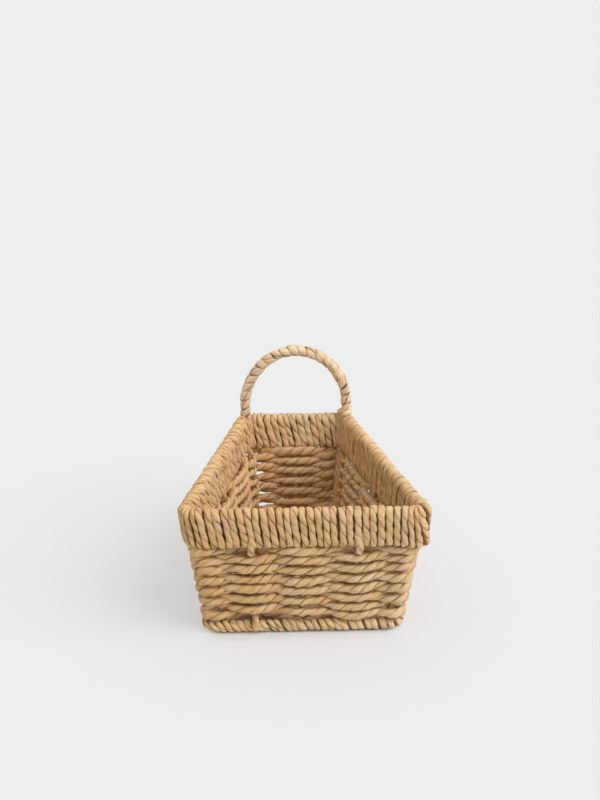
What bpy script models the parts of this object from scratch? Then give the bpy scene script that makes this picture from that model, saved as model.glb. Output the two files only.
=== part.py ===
"""Storage basket of twisted paper cord, woven round a wire frame.

Seen from above the basket is a trapezoid: a wide front wall, a narrow back
wall and an upright handle that stands on the rim at the two back corners.
Thirteen rows of cord are woven round fourteen staves, two rim wires are
overwound with cord, and one long strand is woven across the base.

Units are metres, +Z is up, the front wall faces -Y, and the basket stands
on z = 0.
"""

import math

import bpy
import numpy as np
from mathutils import Vector

NAME = "storage_basket"

# Overall sizes over the wound rim. The widths run to where the side faces meet
# the front and back faces, before the corners are rounded.
FRONT_WIDTH = 0.1886
BACK_WIDTH = 0.0975
DEPTH = 0.208
HEIGHT = 0.105
HANDLE_RISE = 0.0616
WALL_LEAN = math.radians(6.2)
CORNER_RADIUS = 0.006
CORNER_STEPS = 3
SEAT_GAP = 0.0003

# Rim: two wires, wound together with cord into a band
RIM_WIRE_RADIUS = 0.0014
RIM_CORD_RADIUS = 0.0020
BAND_HEIGHT = 0.0315
RIM_OFFSET = 0.0024
TURNS_PER_INTERVAL = 6
TURN_START_SHARE = 1 / 6
COIL_CLEARANCE = 0.0007

# Woven wall: rows of flattened strand that pass in and out of the staves
ROW_COUNT = 13
STRAND_HALF_HEIGHT = 0.00315
STRAND_HALF_DEPTH = 0.0023
SQUEEZE_SHARE = 0.06
CORNER_REACH_SHARE = 1.17
STAVE_RADIUS = 0.0016
STAVE_NECK_RADIUS = 0.00055
NECK_LENGTH = 0.0005
SAMPLES_PER_INTERVAL = 4

# Bottom edge: a wrapped wire that carries the staves and rests on the ground
EDGE_HALF_WIDTH = 0.005
EDGE_HEIGHT = 0.0105
EDGE_OFFSET = 0.0017
EDGE_CLEARANCE = 0.0039

# Base: stakes from front to back, and one strand woven across them
STAKE_RADIUS = 0.0014
BASE_LEVEL = 0.0066
BASE_STRAND_HALF_WIDTH = 0.0031
BASE_STRAND_HALF_HEIGHT = 0.0019
BASE_ROW_PITCH = 0.0070
BASE_TURN_CLEARANCE = 0.0015

# Handle: a bent wire, wound with thinner cord, lashed at its right foot
HANDLE_WIRE_RADIUS = 0.0014
HANDLE_CORD_RADIUS = 0.00135
HANDLE_TURNS = 21
LEG_FROM_CORNER = 0.0015
LASHING_TURNS = 2
LASHING_PITCH = 0.0049
ARCH_SEGMENTS = 20

# Sides in the order that the loops run, anticlockwise from above
SIDES = ("front", "right", "back", "left")
CORNERS = ("front_left", "front_right", "back_right", "back_left")
STAVE_INTERVALS = (4, 4, 2, 4)
STAKE_SHARES = (0.25, 0.5, 0.75)

# Sizes that follow from the ones above
HEXAGON_STRETCH = 1 / math.cos(math.pi / 6)
HEXAGON_TANGENT = math.tan(math.pi / 6)
RIM_CORD_REACH = RIM_WIRE_RADIUS + SEAT_GAP + RIM_CORD_RADIUS
RIM_CROWN_REACH = RIM_CORD_REACH * HEXAGON_STRETCH
WALL_INSET = RIM_OFFSET + RIM_CORD_REACH + RIM_CORD_RADIUS
CORNER_RUN_RADIUS = CORNER_RADIUS + RIM_OFFSET
BAND_FOOT_LEVEL = HEIGHT - BAND_HEIGHT
TOP_WIRE_LEVEL = HEIGHT - RIM_CROWN_REACH - RIM_CORD_RADIUS
LOWER_WIRE_LEVEL = BAND_FOOT_LEVEL + RIM_CROWN_REACH + RIM_CORD_RADIUS
WEAVE_REACH = STAVE_RADIUS + SEAT_GAP + STRAND_HALF_DEPTH
TOP_ROW_LEVEL = BAND_FOOT_LEVEL - SEAT_GAP - STRAND_HALF_HEIGHT
BOTTOM_ROW_LEVEL = EDGE_HEIGHT + EDGE_CLEARANCE + STRAND_HALF_HEIGHT
ROW_PITCH = (TOP_ROW_LEVEL - BOTTOM_ROW_LEVEL) / (ROW_COUNT - 1)
HANDLE_CORD_REACH = HANDLE_WIRE_RADIUS + SEAT_GAP + HANDLE_CORD_RADIUS
HANDLE_TOP = HEIGHT + HANDLE_RISE - HANDLE_CORD_REACH - HANDLE_CORD_RADIUS
TAPER_ANGLE = math.atan2((FRONT_WIDTH - BACK_WIDTH) / 2, DEPTH)
QUARTER_TURN = math.pi / 2
SIDE_ANGLES = (-QUARTER_TURN, TAPER_ANGLE, QUARTER_TURN, math.pi - TAPER_ANGLE)

# Sections of the tubes, as tangent polygons
TUBE_RESOLUTION = 1
OCTAGON_TANGENT = math.tan(math.pi / 8)
HEXAGON = 6

# Colours as linear values, with roughness and metallic
CORD_FINISH = ((0.58, 0.38, 0.18), 0.85, 0.0)
STRAND_FINISH = ((0.52, 0.33, 0.15), 0.88, 0.0)
WIRE_FINISH = ((0.30, 0.29, 0.28), 0.40, 0.9)


# Scene and materials


def clear_scene():
    """Remove every object that the file opened with."""
    for old in list(bpy.data.objects):
        bpy.data.objects.remove(old)


def new_collection(name):
    """Add a collection to the scene."""
    collection = bpy.data.collections.new(name)
    bpy.context.scene.collection.children.link(collection)
    return collection


def finish(piece, look):
    """Give a piece its own Principled material."""
    colour, roughness, metallic = look
    material = bpy.data.materials.new(piece.name)
    material.use_nodes = True
    shader = material.node_tree.nodes["Principled BSDF"]
    shader.inputs["Base Color"].default_value = (*colour, 1.0)
    shader.inputs["Roughness"].default_value = roughness
    shader.inputs["Metallic"].default_value = metallic
    piece.data.materials.append(material)


# The wall's line, seen from above


def unit(angle):
    """Horizontal unit vector at an angle from +X."""
    return Vector((math.cos(angle), math.sin(angle), 0.0))


def side_distance(side, level):
    """Distance from the Z axis to the staves' line of one side, at a height."""
    across = FRONT_WIDTH / 2 * math.cos(TAPER_ANGLE) - DEPTH / 2 * math.sin(TAPER_ANGLE)
    rim = DEPTH / 2 if side % 2 == 0 else across
    return rim - WALL_INSET - (HEIGHT - level) * math.tan(WALL_LEAN)


def corner_centre(corner, level):
    """Centre of the arc that joins one side to the one before it."""
    before, after = (corner - 1) % 4, corner % 4
    normals = np.array([unit(SIDE_ANGLES[side])[:2] for side in (before, after)])
    distances = [side_distance(side, level) - CORNER_RADIUS for side in (before, after)]
    x, y = np.linalg.solve(normals, distances)
    return Vector((x, y, level))


def corner_turn(corner):
    """Angle that the wall turns through at a corner."""
    return (SIDE_ANGLES[corner % 4] - SIDE_ANGLES[(corner - 1) % 4]) % (2 * math.pi)


def side_lengths(side, level):
    """Lengths of a side's first half corner, its straight run and its last half corner.

    They are measured on the rim wires' line.
    """
    straight = (corner_centre(side + 1, level) - corner_centre(side, level)).length
    first = CORNER_RUN_RADIUS * corner_turn(side) / 2
    last = CORNER_RUN_RADIUS * corner_turn(side + 1) / 2
    return first, straight, last


def wall_point(side, share, level, out):
    """Point on the wall, from one corner's middle (share 0) to the next one's (share 1).

    out is the distance outside the staves' line, square to it.
    """
    first, straight, last = side_lengths(side, level)
    run = share * (first + straight + last)
    start, end = corner_centre(side, level), corner_centre(side + 1, level)
    angle = SIDE_ANGLES[side]
    if run < first:
        centre = start
        angle -= (first - run) / CORNER_RUN_RADIUS
    elif run < first + straight:
        centre = start.lerp(end, (run - first) / straight)
    else:
        centre = end
        angle += (run - first - straight) / CORNER_RUN_RADIUS
    return centre + unit(angle) * (CORNER_RADIUS + out)


def rounded_loop(level, out):
    """Points of a whole loop round the wall, with its corners as arcs."""
    points = []
    for corner in range(4):
        centre = corner_centre(corner, level)
        turn = corner_turn(corner)
        for step in range(CORNER_STEPS + 1):
            angle = SIDE_ANGLES[corner] - turn * (1 - step / CORNER_STEPS)
            points.append(centre + unit(angle) * (CORNER_RADIUS + out))
    return points


# Curves


def new_curve(name, points, collection, closed=False, scales=None):
    """Add a POLY curve through points, with a size factor at each point."""
    curve = bpy.data.curves.new(name, "CURVE")
    curve.dimensions = "3D"
    spline = curve.splines.new("POLY")
    spline.points.add(len(points) - 1)
    spline.use_cyclic_u = closed
    spline.use_smooth = True
    for index, (slot, point) in enumerate(zip(spline.points, points)):
        slot.co = (*point, 1.0)
        slot.radius = scales[index] if scales else 1.0
    curve.use_fill_caps = not closed
    piece = bpy.data.objects.new(name, curve)
    collection.objects.link(piece)
    return piece


def add_tube(name, points, radius, look, collection, closed=False, scales=None):
    """Add a round tube along points."""
    tube = new_curve(name, points, collection, closed, scales)
    tube.data.bevel_depth = radius
    tube.data.bevel_resolution = TUBE_RESOLUTION
    finish(tube, look)
    return tube


def add_section(name, corners, collection):
    """Add a closed outline that strands are swept with: X points outwards, Y up."""
    section = new_curve(name, [(x, y, 0.0) for x, y in corners], collection, closed=True)
    section.data.dimensions = "2D"
    section.hide_render = True
    section.display_type = "WIRE"
    return section


def sweep(name, points, section, look, collection, closed=False, scales=None):
    """Sweep an upright section along points."""
    strand = new_curve(name, points, collection, closed, scales)
    strand.data.twist_mode = "Z_UP"
    strand.data.bevel_mode = "OBJECT"
    strand.data.bevel_object = section
    finish(strand, look)
    return strand


def strand_outline(half_depth, half_height):
    """Six-sided section of a flattened strand, clockwise, with its points up and down."""
    angles = [QUARTER_TURN - index * 2 * math.pi / HEXAGON for index in range(HEXAGON)]
    return [(half_depth * math.cos(angle), half_height * math.sin(angle)) for angle in angles]


def edge_outline():
    """Eight-sided section of the bottom edge, with a flat face to stand on."""
    half_height = EDGE_HEIGHT / 2
    quarter = [
        (EDGE_HALF_WIDTH * OCTAGON_TANGENT, half_height),
        (EDGE_HALF_WIDTH, half_height * OCTAGON_TANGENT),
    ]
    right = quarter + [(x, -y) for x, y in reversed(quarter)]
    return right + [(-x, -y) for x, y in right]


def add_winding(name, points, radius, collection, scales=None):
    """Add a wound cord, six points to a turn, and print its least gap to itself."""
    places = np.array([tuple(point) for point in points])
    sizes = radius * np.array(scales or [1.0] * len(points))
    gaps = np.linalg.norm(places[:, None] - places, axis=2) - sizes[:, None] - sizes
    order = np.arange(len(points))
    gap = gaps[np.abs(order[:, None] - order) > HEXAGON // 2].min()
    print(f"{name}: {len(points) // HEXAGON} turns, least gap {gap * 1000:.2f} mm")
    add_tube(name, points, radius, CORD_FINISH, collection, scales=scales)


# Frame


def add_rings(collection):
    """Add the two rim wires."""
    for name, level in (("rim_top_wire", TOP_WIRE_LEVEL), ("rim_lower_wire", LOWER_WIRE_LEVEL)):
        points = rounded_loop(level, RIM_OFFSET)
        add_tube(name, points, RIM_WIRE_RADIUS, WIRE_FINISH, collection, closed=True)


def add_bottom_edge(collection, guides):
    """Add the wrapped wire round the base, flat below."""
    section = add_section("edge_section", edge_outline(), guides)
    points = rounded_loop(EDGE_HEIGHT / 2, EDGE_OFFSET)
    sweep("bottom_edge", points, section, CORD_FINISH, collection, closed=True)


def stave_name(side, index):
    """Name of a stave: a corner's, or a side's with its number."""
    return f"stave_{CORNERS[side]}" if index == 0 else f"stave_{SIDES[side]}_{index}"


def add_stave(name, side, share, collection):
    """Add a paper-covered stave, its bare neck bent out to the lower rim wire."""
    foot = EDGE_HEIGHT + SEAT_GAP
    shoulder = BAND_FOOT_LEVEL - 2 * NECK_LENGTH
    head = LOWER_WIRE_LEVEL - RIM_WIRE_RADIUS - SEAT_GAP
    points = [
        wall_point(side, share, foot, 0),
        wall_point(side, share, shoulder, 0),
        wall_point(side, share, shoulder + NECK_LENGTH, 0),
        wall_point(side, share, head, RIM_OFFSET),
    ]
    neck = STAVE_NECK_RADIUS / STAVE_RADIUS
    add_tube(name, points, STAVE_RADIUS, STRAND_FINISH, collection, scales=[1, 1, neck, neck])


def add_staves(collection):
    """Add a stave at each corner and between them along each side."""
    for side, intervals in enumerate(STAVE_INTERVALS):
        for index in range(intervals):
            add_stave(stave_name(side, index), side, index / intervals, collection)


# Woven wall


def strand_scale(spread):
    """Size factor of a strand whose neighbours lie spread apart, in and out."""
    apart = math.hypot(spread / STRAND_HALF_DEPTH, ROW_PITCH / STRAND_HALF_HEIGHT)
    return min(1.0, apart / 2 - SQUEEZE_SHARE)


def row_path(row):
    """Points and size factors of one woven row.

    Even rows pass outside the corner staves, odd rows inside them. Where two
    rows cross between staves, both are pressed thin.
    """
    level = BOTTOM_ROW_LEVEL + row * ROW_PITCH
    side_first = 1 if row % 2 == 0 else -1
    points, scales = [], []
    stave = 0
    for side, intervals in enumerate(STAVE_INTERVALS):
        for sample in range(intervals * SAMPLES_PER_INTERVAL):
            step = sample / SAMPLES_PER_INTERVAL
            swing = math.cos(math.pi * (stave + step))
            reach = WEAVE_REACH * (CORNER_REACH_SHARE if sample == 0 else 1.0)
            share = step / intervals
            points.append(wall_point(side, share, level, side_first * reach * swing))
            scales.append(strand_scale(2 * WEAVE_REACH * abs(swing)))
        stave += intervals
    return points, scales


def add_rows(collection, guides):
    """Add the woven rows, lowest first."""
    outline = strand_outline(STRAND_HALF_DEPTH, STRAND_HALF_HEIGHT)
    section = add_section("strand_section", outline, guides)
    for row in range(ROW_COUNT):
        points, scales = row_path(row)
        name = f"wall_row_{row + 1:02d}"
        sweep(name, points, section, STRAND_FINISH, collection, closed=True, scales=scales)


# Base


def inner_half_width(y):
    """Half the clear width inside the bottom edge, at a place along the basket."""
    distance = side_distance(1, EDGE_HEIGHT / 2) + EDGE_OFFSET - EDGE_HALF_WIDTH - SEAT_GAP
    return (distance - y * math.sin(TAPER_ANGLE)) / math.cos(TAPER_ANGLE)


def edge_inside(side):
    """Distance from the Z axis to the bottom edge's inner face on one side."""
    return side_distance(side, EDGE_HEIGHT / 2) + EDGE_OFFSET - EDGE_HALF_WIDTH


def stake_place(share, y):
    """Sideways place of a stake at a place along the basket."""
    return (2 * share - 1) * inner_half_width(y)


def add_stakes(collection):
    """Add the base's stakes, which fan out from the back to the front."""
    front = SEAT_GAP - edge_inside(0)
    back = edge_inside(2) - SEAT_GAP
    for number, share in enumerate(STAKE_SHARES, start=1):
        points = [(stake_place(share, y), y, BASE_LEVEL) for y in (front, back)]
        add_tube(f"base_stake_{number}", points, STAKE_RADIUS, WIRE_FINISH, collection)


def base_row(y, first_swing):
    """Points of one pass of the base strand, over and under the stakes, left to right."""
    lift = STAKE_RADIUS + SEAT_GAP + BASE_STRAND_HALF_HEIGHT
    end = inner_half_width(y) - BASE_STRAND_HALF_WIDTH - BASE_TURN_CLEARANCE
    points = [(-end, y, BASE_LEVEL)]
    for index, share in enumerate(STAKE_SHARES):
        swing = first_swing * (-1) ** index
        points.append((stake_place(share, y), y, BASE_LEVEL + swing * lift))
    points.append((end, y, BASE_LEVEL))
    return points


def add_base_strand(collection, guides):
    """Add the one strand that is woven to and fro across the base."""
    margin = BASE_STRAND_HALF_WIDTH + SEAT_GAP
    first = margin - edge_inside(0)
    last = edge_inside(2) - margin
    rows = int((last - first) / BASE_ROW_PITCH)
    pitch = (last - first) / rows
    points = []
    for row in range(rows + 1):
        passing = base_row(first + row * pitch, 1 if row % 2 == 0 else -1)
        points += passing if row % 2 == 0 else passing[::-1]
    outline = strand_outline(BASE_STRAND_HALF_WIDTH, BASE_STRAND_HALF_HEIGHT)
    section = add_section("base_section", outline, guides)
    sweep("base_strand", points, section, STRAND_FINISH, collection)


# Windings


def band_section():
    """Corners of the cord's way round both rim wires, as (out, height) pairs.

    The way is half a hexagon at each end, tangent to the cord's reach round
    the wire, so that the cord clears the wires all along.
    """
    side, shoulder = RIM_CORD_REACH, RIM_CORD_REACH * HEXAGON_TANGENT
    return [
        (side, TOP_WIRE_LEVEL + shoulder),
        (side, LOWER_WIRE_LEVEL - shoulder),
        (0.0, LOWER_WIRE_LEVEL - RIM_CROWN_REACH),
        (-side, LOWER_WIRE_LEVEL - shoulder),
        (-side, TOP_WIRE_LEVEL + shoulder),
        (0.0, TOP_WIRE_LEVEL + RIM_CROWN_REACH),
    ]


def crowding(side, share, level, out, turns):
    """Size factor of a cord that is squeezed between the turns beside it."""
    here = wall_point(side, share, level, out)
    beside = [wall_point(side, share + step / turns, level, out) for step in (-1, 1)]
    spacing = min((here - other).length for other in beside)
    return min(1.0, (spacing - COIL_CLEARANCE) / (2 * RIM_CORD_RADIUS))


def add_rim_winding(side, skip_first, skip_last, collection):
    """Wind one side of the rim, an equal number of turns between staves.

    The cord's end is tucked in on the inner face.
    """
    turns = STAVE_INTERVALS[side] * TURNS_PER_INTERVAL
    section = band_section()
    points, scales = [], []
    for index in range(skip_first * HEXAGON, (turns - skip_last) * HEXAGON - 1):
        out, level = section[index % HEXAGON]
        share = (index / HEXAGON + TURN_START_SHARE) / turns
        points.append(wall_point(side, share, level, RIM_OFFSET + out))
        scales.append(crowding(side, share, level, RIM_OFFSET + out, turns))
    add_winding(f"rim_winding_{SIDES[side]}", points, RIM_CORD_RADIUS, collection, scales)


def add_rim_windings(collection):
    """Wind the four sides, leaving room at the back corners for the handle's legs."""
    for side, name in enumerate(SIDES):
        add_rim_winding(side, int(name == "left"), int(name == "right"), collection)


# Handle


def leg_place():
    """Where the right leg stands on the top rim wire."""
    first, straight, last = side_lengths(1, TOP_WIRE_LEVEL)
    share = 1 - LEG_FROM_CORNER / (first + straight + last)
    return wall_point(1, share, TOP_WIRE_LEVEL, RIM_OFFSET)


def handle_path():
    """Centre line of the handle wire, from its left foot to its right foot."""
    leg = leg_place()
    radius = leg.x
    foot = TOP_WIRE_LEVEL + RIM_WIRE_RADIUS + SEAT_GAP
    spring = HANDLE_TOP - radius
    points = [Vector((-radius, leg.y, foot))]
    for step in range(ARCH_SEGMENTS + 1):
        angle = math.pi * (1 - step / ARCH_SEGMENTS)
        rise = Vector((math.cos(angle), 0.0, math.sin(angle))) * radius
        points.append(Vector((0.0, leg.y, spring)) + rise)
    points.append(Vector((radius, leg.y, foot)))
    return points


def walk(path, distance):
    """Point and direction at a distance along a path."""
    for start, end in zip(path, path[1:]):
        step = end - start
        if distance <= step.length:
            break
        distance -= step.length
    direction = step.normalized()
    return start + direction * distance, direction


def wind_round(path, start, end, turns, reach):
    """Points of a right-handed coil round a path in the XZ plane, six to a turn."""
    depthwise = Vector((0.0, -1.0, 0.0))
    steps = turns * HEXAGON
    points = []
    for index in range(steps + 1):
        place, direction = walk(path, start + (end - start) * index / steps)
        sideways = direction.cross(depthwise)
        angle = index * 2 * math.pi / HEXAGON
        spoke = sideways * math.cos(angle) + depthwise * math.sin(angle)
        points.append(place + spoke * reach * HEXAGON_STRETCH)
    return points


def add_handle(collection):
    """Add the handle's wire, its winding and the lashing at its right foot."""
    path = handle_path()
    length = sum((end - start).length for start, end in zip(path, path[1:]))
    add_tube("handle_wire", path, HANDLE_WIRE_RADIUS, WIRE_FINISH, collection)

    foot_to_rim = HEIGHT + SEAT_GAP - path[0].z
    lashing_reach = HANDLE_WIRE_RADIUS + SEAT_GAP + RIM_CORD_RADIUS
    lashing_start = length - foot_to_rim - RIM_CORD_RADIUS
    lashing_end = lashing_start - LASHING_TURNS * LASHING_PITCH
    lashing = wind_round(path, lashing_start, lashing_end, LASHING_TURNS, lashing_reach)
    add_winding("handle_foot_lashing", lashing, RIM_CORD_RADIUS, collection)

    start = foot_to_rim + HANDLE_CORD_RADIUS
    end = lashing_end - RIM_CORD_RADIUS - HANDLE_CORD_RADIUS - SEAT_GAP
    winding = wind_round(path, start, end, HANDLE_TURNS, HANDLE_CORD_REACH)
    add_winding("handle_winding", winding, HANDLE_CORD_RADIUS, collection)


def main():
    """Build the basket."""
    clear_scene()
    basket = new_collection(NAME)
    guides = new_collection("guides")
    add_rings(basket)
    add_bottom_edge(basket, guides)
    add_staves(basket)
    add_rows(basket, guides)
    add_stakes(basket)
    add_base_strand(basket, guides)
    add_rim_windings(basket)
    add_handle(basket)


main()
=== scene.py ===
"""Looks of a storage basket woven from twisted paper cord.

Every rope and cord of the basket is modelled here as a two-ply twisted rope:
the woven rows, the staves, the turns round the rim, the bottom edge and the
handle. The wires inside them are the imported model's own.
"""

import logging
import math
from dataclasses import dataclass, replace
from enum import Enum

import bpy
import numpy as np
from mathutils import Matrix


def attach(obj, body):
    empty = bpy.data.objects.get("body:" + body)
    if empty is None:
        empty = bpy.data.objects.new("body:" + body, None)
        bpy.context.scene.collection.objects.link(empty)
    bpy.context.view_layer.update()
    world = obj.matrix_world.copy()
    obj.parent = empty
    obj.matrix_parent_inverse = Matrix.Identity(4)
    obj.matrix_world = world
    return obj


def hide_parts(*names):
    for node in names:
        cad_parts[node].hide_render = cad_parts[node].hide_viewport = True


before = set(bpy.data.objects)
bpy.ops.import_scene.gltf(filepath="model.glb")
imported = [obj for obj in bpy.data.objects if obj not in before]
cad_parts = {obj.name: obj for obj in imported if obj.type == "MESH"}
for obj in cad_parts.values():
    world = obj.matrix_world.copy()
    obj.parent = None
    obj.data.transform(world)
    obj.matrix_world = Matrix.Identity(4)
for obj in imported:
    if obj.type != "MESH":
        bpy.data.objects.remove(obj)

log = logging.getLogger("storage_basket")

BODY = "root"
SEED = 714
MM = 0.001
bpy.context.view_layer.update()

Array = np.ndarray


class Slot(Enum):
    """Material slots that are made of paper."""

    WINDING = "winding_cord"
    STRAND = "woven_strand"
    STAVE = "covered_stave"


class Side(Enum):
    """Sides of the basket, anticlockwise from above."""

    FRONT = 0
    RIGHT = 1
    BACK = 2
    LEFT = 3


# Small helpers


def linear(hex_code: str) -> tuple[float, float, float, float]:
    """Turn an sRGB hex colour into linear values.

    Args:
        hex_code: six hex digits, red first.

    Returns:
        Linear red, green and blue, and an alpha of one.
    """
    values = [int(hex_code[place:place + 2], 16) / 255 for place in (0, 2, 4)]
    red, green, blue = [
        value / 12.92 if value <= 0.04045 else ((value + 0.055) / 1.055) ** 2.4
        for value in values
    ]
    return red, green, blue, 1.0


def add_node(tree: bpy.types.NodeTree, kind: str, inputs: dict | None = None,
             **settings: object) -> bpy.types.Node:
    """Add a shader node with its settings, and fill or link its inputs.

    Args:
        tree: the material's or world's node tree.
        kind: the node's type name, without its ShaderNode prefix.
        inputs: a value or another node's output for each input, by name or number.
        settings: the node's own properties.

    Returns:
        The new node.
    """
    node = tree.nodes.new("ShaderNode" + kind)
    for name, value in settings.items():
        setattr(node, name, value)
    for key, value in (inputs or {}).items():
        if isinstance(value, bpy.types.NodeSocket):
            tree.links.new(value, node.inputs[key])
        else:
            node.inputs[key].default_value = value
    return node


def unit(vectors: Array) -> Array:
    """Vectors divided by their lengths."""
    return vectors / np.linalg.norm(vectors, axis=-1, keepdims=True)


def wander(places: Array, spacing: float, amount: float, rng: np.random.Generator,
           closed: bool = False) -> Array:
    """Smooth random drift along a rope.

    Random heights at even knots are joined by half waves of a cosine.

    Args:
        places: distances along the rope.
        spacing: distance between knots, about.
        amount: standard deviation of the heights.
        rng: numpy's random generator.
        closed: True where the rope's end meets its start.

    Returns:
        The drift at each place.
    """
    span = places[-1] - places[0]
    count = max(2, round(span / spacing))
    heights = rng.normal(0.0, amount, count + 2)
    if closed:
        heights[count] = heights[0]
    knots = (places - places[0]) / span * count
    index = np.minimum(knots.astype(int), count)
    blend = (1 - np.cos(np.pi * (knots - index))) / 2
    return heights[index] * (1 - blend) + heights[index + 1] * blend


def bell(apart: Array, width: float) -> Array:
    """A bell curve of height one, exp(-(apart / width) ** 2)."""
    return np.exp(-(apart / width) ** 2)


def smooth_step(values: Array, place: float, width: float) -> Array:
    """From zero to one at a place, 1 / (1 + exp((place - value) / width)); back where width < 0."""
    return 1 / (1 + np.exp((place - values) / width))


def totals_before(counts: tuple[int, ...]) -> Array:
    """For each of some counts, the sum of those before it."""
    return np.cumsum((0,) + counts[:-1])


# Ropes


@dataclass
class RopePath:
    """Where a rope runs, and how thick it is there.

    Attributes:
        points: the rope's middle line.
        out: the direction in which depth is measured, about square to the line.
        half_depth: half the rope's thickness along out.
        half_width: half its thickness square to out.
        tone: how much lighter the paper is, at random and by painted light and shade.
        painted_flank_share: how much of the flanks' painted shade is left.
        closed: True where the last point is followed by the first.
    """

    points: Array
    out: Array
    half_depth: Array
    half_width: Array
    tone: Array
    painted_flank_share: Array | float = 1.0
    closed: bool = False


@dataclass
class RopeSkin:
    """Rings of points along a rope, and what its finish needs to know.

    Attributes:
        points: the points, by ring and place in the ring.
        places: distances along the rope, with its whole length as the last one.
        painted_shade: painted shade at each point, in the grooves and on the flanks.
        tone: how much lighter each ring is, at random and by painted light and shade.
        girth: distance round the rope.
        closed: True where the last ring is followed by the first.
    """

    points: Array
    places: Array
    painted_shade: Array
    tone: Array
    girth: float
    closed: bool

    def part(self, first: int, last: int) -> "RopeSkin":
        """An open length of a closed rope.

        Args:
            first: number of the length's first ring.
            last: number of its last ring, which may lie in the next lap.

        Returns:
            The length's own skin.
        """
        rings = np.arange(first, last + 1)
        index = rings % len(self.points)
        laps = rings // len(self.points)
        places = self.places[index] + laps * self.places[-1]
        return RopeSkin(self.points[index], places, self.painted_shade[index], self.tone[index],
                        self.girth, closed=False)


@dataclass(frozen=True)
class TwistedRope:
    """Two plies of paper laid together with a left-handed twist.

    A section is a circle of radius one with a sharp groove at each side,
    where the plies meet: its radius is pushed out by the two plies' own round
    shape and cut in by a groove that fades with the angle from the seam. The
    section turns once for every lay length, and is then pressed to the path's
    depth and width, a little squarer than round. Painted shade darkens the
    paper in the grooves and on the flanks, which lie against the next rope.
    """

    lay: float = 18 * MM
    ply_offset: float = 0.17
    groove_depth: float = 0.2
    groove_angle: float = math.radians(9)
    roundness: float = 0.86
    flank_start: float = 0.78
    painted_flank_shade: float = 0.5
    looseness: float = 0.8
    loose_spacing: float = 30 * MM
    lumps: float = 0.07
    lump_spacing: float = 9 * MM
    seam_start: float = 0.8
    unevenness: float = 0.55
    seam_spacing: float = 5 * MM
    deepest_seam: float = 1.7
    seam_steps: tuple[float, ...] = (0, 8, 22, 45, 67, 90, 113, 135, 158, 172)

    def section(self) -> tuple[Array, Array, Array]:
        """One section, measured from a seam.

        A ply is a circle of radius 1 - offset, so its edge lies at
        offset * cos(a) + sqrt((1 - offset)^2 - (offset * sin(a))^2).

        Returns:
            Angles, radii and shares of the groove.
        """
        steps = np.radians(self.seam_steps)
        angles = np.concatenate([steps, steps + np.pi])
        from_crown = np.concatenate([steps, steps]) - np.pi / 2
        plies = self.ply_offset * np.cos(from_crown) + np.sqrt(
            (1 - self.ply_offset) ** 2 - (self.ply_offset * np.sin(from_crown)) ** 2
        )
        from_seam = np.minimum(steps, np.pi - steps)
        groove = np.exp(-np.concatenate([from_seam, from_seam]) / self.groove_angle)
        return angles, plies, groove

    def press(self, share: Array) -> Array:
        """A sine or cosine to the power of the roundness, which squares a section out."""
        return np.sign(share) * np.abs(share) ** self.roundness

    def skin(self, path: RopePath, rng: np.random.Generator) -> RopeSkin:
        """The rope's skin, as rings along the path.

        A point lies at the path's own point, plus the section's radius times
        the pressed cosine of its angle along the out direction and the pressed
        sine of it square to that. Each seam's groove is deeper in some places
        than in others, and each ply has its lumps.

        Args:
            path: where the rope runs.
            rng: numpy's random generator, for the twist, the seams and the lumps.

        Returns:
            The skin.
        """
        if path.closed:
            steps = np.roll(path.points, -1, axis=0) - path.points
            tangent = unit(steps + np.roll(steps, 1, axis=0))
        else:
            steps = np.diff(path.points, axis=0)
            tangent = unit(np.gradient(path.points, axis=0))
        places = np.concatenate([[0.0], np.cumsum(np.linalg.norm(steps, axis=1))])
        total = places[-1]
        along = places[:len(path.points)]
        out = unit(path.out - (path.out * tangent).sum(1, keepdims=True) * tangent)
        aside = np.cross(tangent, out)

        turns = max(1, round(total / self.lay)) if path.closed else total / self.lay
        loose = wander(along, self.loose_spacing, self.looseness, rng, path.closed)
        twist = rng.uniform(0, 2 * np.pi) - 2 * np.pi * turns * along / total + loose
        seams = [wander(along, self.seam_spacing, self.unevenness, rng, path.closed)
                 for _ in range(2)]
        first_seam, second_seam = np.clip(self.seam_start + np.array(seams), 0.0, self.deepest_seam)
        lobes = [1 + wander(along, self.lump_spacing, self.lumps, rng, path.closed)
                 for _ in range(2)]

        angles, plies, groove = self.section()
        near_first = (np.cos(angles) > 0)[None, :]
        groove = groove * np.where(near_first, first_seam[:, None], second_seam[:, None])
        first_ply = (np.cos(angles - np.pi / 2) + 1) / 2
        swell = lobes[0][:, None] * first_ply + lobes[1][:, None] * (1 - first_ply)
        reach = plies * swell - self.groove_depth * groove
        theta = angles + twist[:, None]
        sine = np.sin(theta)
        deep = reach * self.press(np.cos(theta)) * path.half_depth[:, None]
        wide = reach * self.press(sine) * path.half_width[:, None]
        points = path.points[:, None] + deep[..., None] * out[:, None] + wide[..., None] * aside[:, None]

        # Painted shade: the paper is darker on the flanks, which face the next rope, and in the grooves,
        # where shade falls
        flank_painted_shade = np.clip((np.abs(sine) - self.flank_start) / (1 - self.flank_start), 0, 1)
        flank_painted_shade *= self.painted_flank_shade * np.reshape(path.painted_flank_share, (-1, 1))
        painted_shade = np.maximum(groove, flank_painted_shade)
        girth = 2 * np.pi * path.half_width.mean()
        return RopeSkin(points, places, painted_shade, path.tone, girth, path.closed)


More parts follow.
